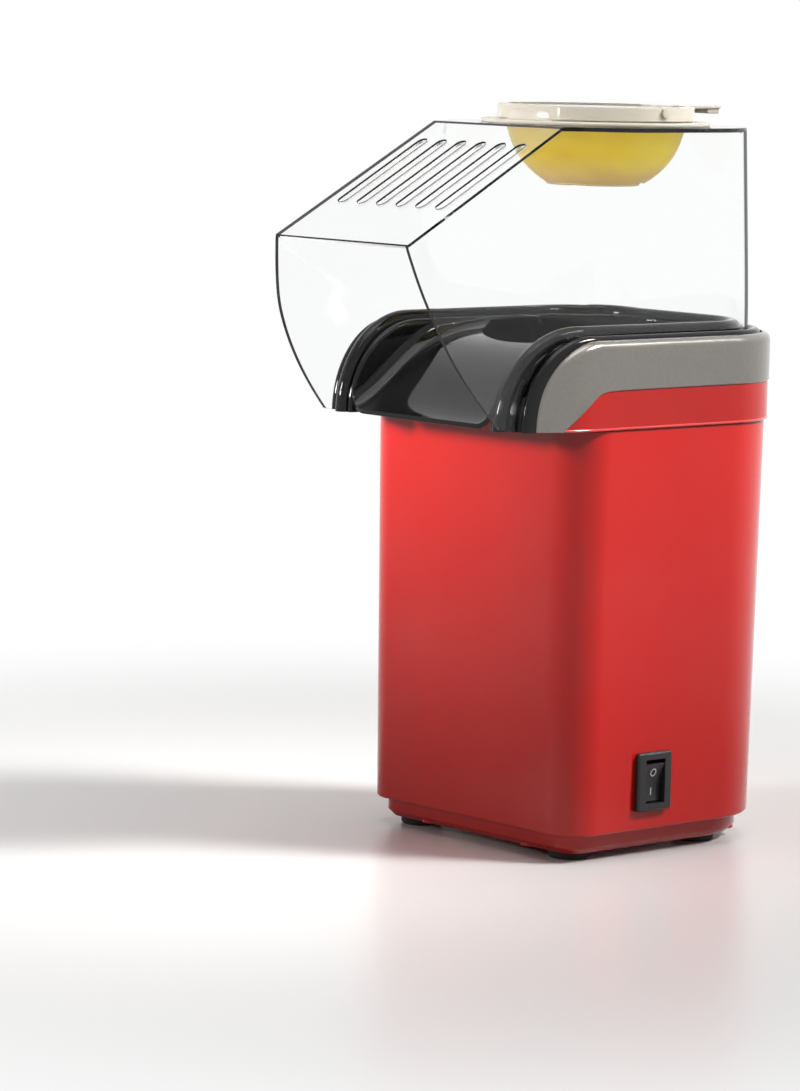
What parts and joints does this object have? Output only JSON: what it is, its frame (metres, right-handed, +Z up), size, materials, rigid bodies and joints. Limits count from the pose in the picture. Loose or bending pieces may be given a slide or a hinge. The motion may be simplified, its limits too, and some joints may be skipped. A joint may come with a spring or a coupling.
{
  "type": "popcorn maker",
  "caption": "Hot-air popcorn maker: red drafted body, black spout deck, clear lift-off hood with steam slots, measuring cup, rocker switch, blower and heater inside.",
  "frame": {"origin": "centre of the overall box, at the table under the feet", "axes": "+Z up, the spout faces -Y, the switch is on the +X side"},
  "size_m": [0.1246, 0.1844, 0.28],
  "materials": {
    "red_gloss": "gloss",
    "gunmetal": "semi-gloss metallic",
    "black_gloss": "high gloss",
    "black_matte": "matte",
    "black_rubber": "matte",
    "clear": "clear plastic",
    "amber": "tinted clear plastic",
    "aluminium": "satin",
    "steel": "brushed",
    "brass": "plain",
    "mica": "matte",
    "green_board": "satin"
  },
  "bodies": {
    "machine": {"housing": "red_gloss", "housing_band": "red_gloss", "base_cover": "red_gloss", "collar": "gunmetal", "chute_deck": "black_gloss", "feet": "black_rubber", "base_screws": "steel", "cord_gland": "black_matte", "switch_frame": "black_matte", "switch_terminals": "brass", "popping_chamber": "aluminium", "chamber_gasket": "black_rubber", "chamber_screws": "steel", "heater_shroud": "aluminium", "fan_duct": "black_matte", "mica_frame": "mica", "heater_coil": "steel", "thermal_fuse": "steel", "thermostat": "mica", "motor_can": "steel", "motor_bracket": "steel", "bracket_screws": "steel", "rectifier_board": "green_board"},
    "hood": {"hood": "clear"},
    "cup": {"measuring_cup": "amber"},
    "lid": {"cup_lid": "clear"},
    "rocker": {"switch_rocker": "black_matte"},
    "fan": {"fan_impeller": "black_matte", "motor_shaft": "steel"}
  },
  "joints": [
    {"name": "hood_lift", "type": "slide", "parent": "machine", "child": "hood", "axis": [0, 0, 1], "range_m": [0, 0.13]},
    {"name": "cup_lift", "type": "slide", "parent": "hood", "child": "cup", "axis": [0, 0, 1], "range_m": [0, 0.06]},
    {"name": "lid_lift", "type": "slide", "parent": "cup", "child": "lid", "axis": [0, 0, 1], "range_m": [0, 0.03]},
    {"name": "rocker_tilt", "type": "hinge", "parent": "machine", "child": "rocker", "pos_m": [0.0573, 0.01565, 0.029], "axis": [0, -1, 0], "range_deg": [0, 18]},
    {"name": "fan_spin", "type": "hinge", "parent": "machine", "child": "fan", "pos_m": [0, 0.03385, 0.055], "axis": [0, 0, 1], "continuous": true}
  ]
}
